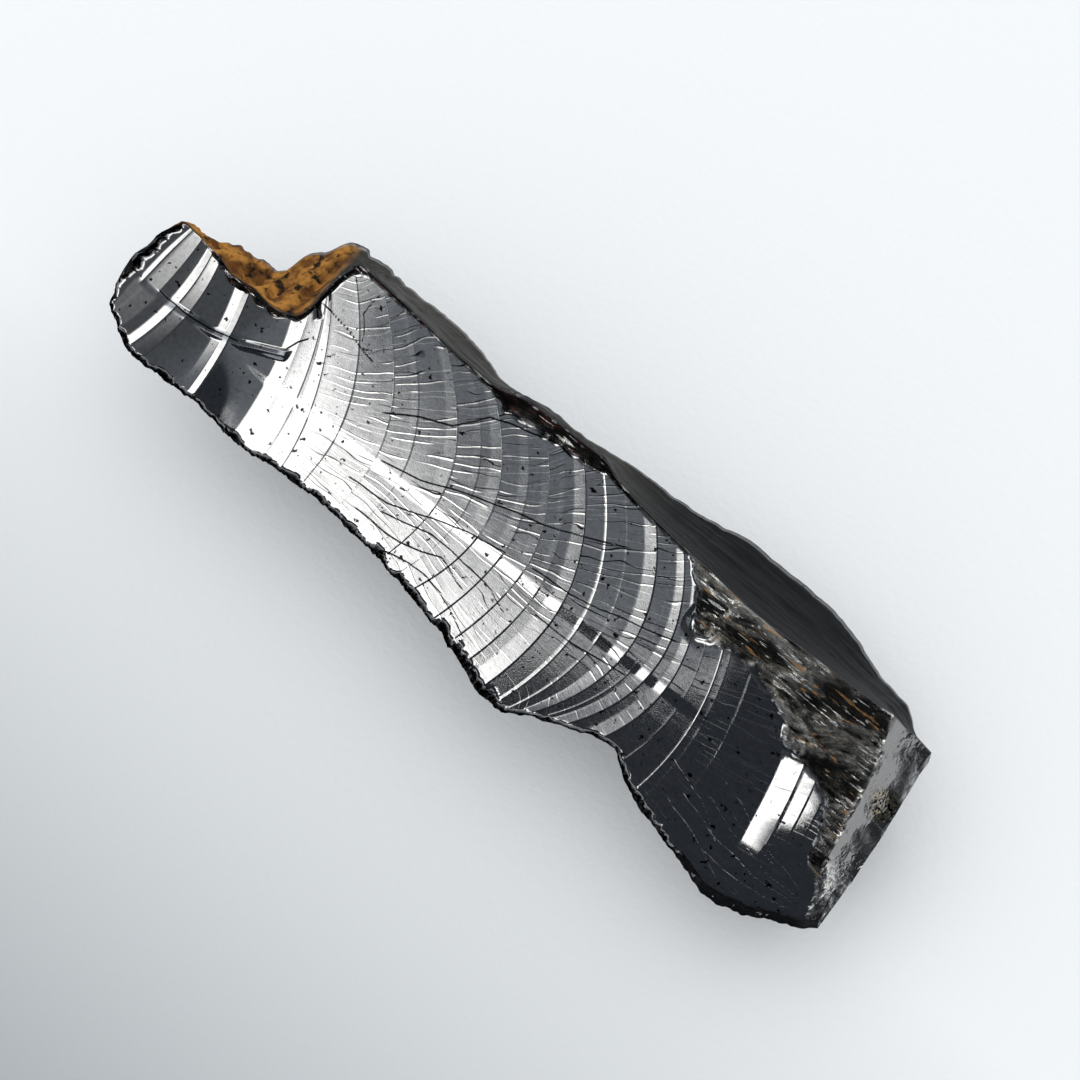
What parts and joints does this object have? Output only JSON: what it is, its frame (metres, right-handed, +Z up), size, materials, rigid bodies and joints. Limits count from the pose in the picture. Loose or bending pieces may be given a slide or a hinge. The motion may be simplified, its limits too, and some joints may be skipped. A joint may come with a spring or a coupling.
{
  "type": "elite shungite splinter",
  "caption": "Long splinter of glossy black elite shungite with a ribbed shell-like fracture on top, lying on its flat underside.",
  "frame": {"origin": "on the surface that the stone lies on, under the middle of its box", "axes": "+X along the stone from its narrow tip to its broad end, +Z up out of the ribbed fracture, +Y towards the high ridge"},
  "size_m": [0.0528, 0.017, 0.0102],
  "materials": {
    "shungite": "semi-metallic gloss on the broken faces, with rusty and crushed dull patches"
  },
  "bodies": {
    "root": {"shungite_splinter": "shungite"}
  },
  "joints": []
}
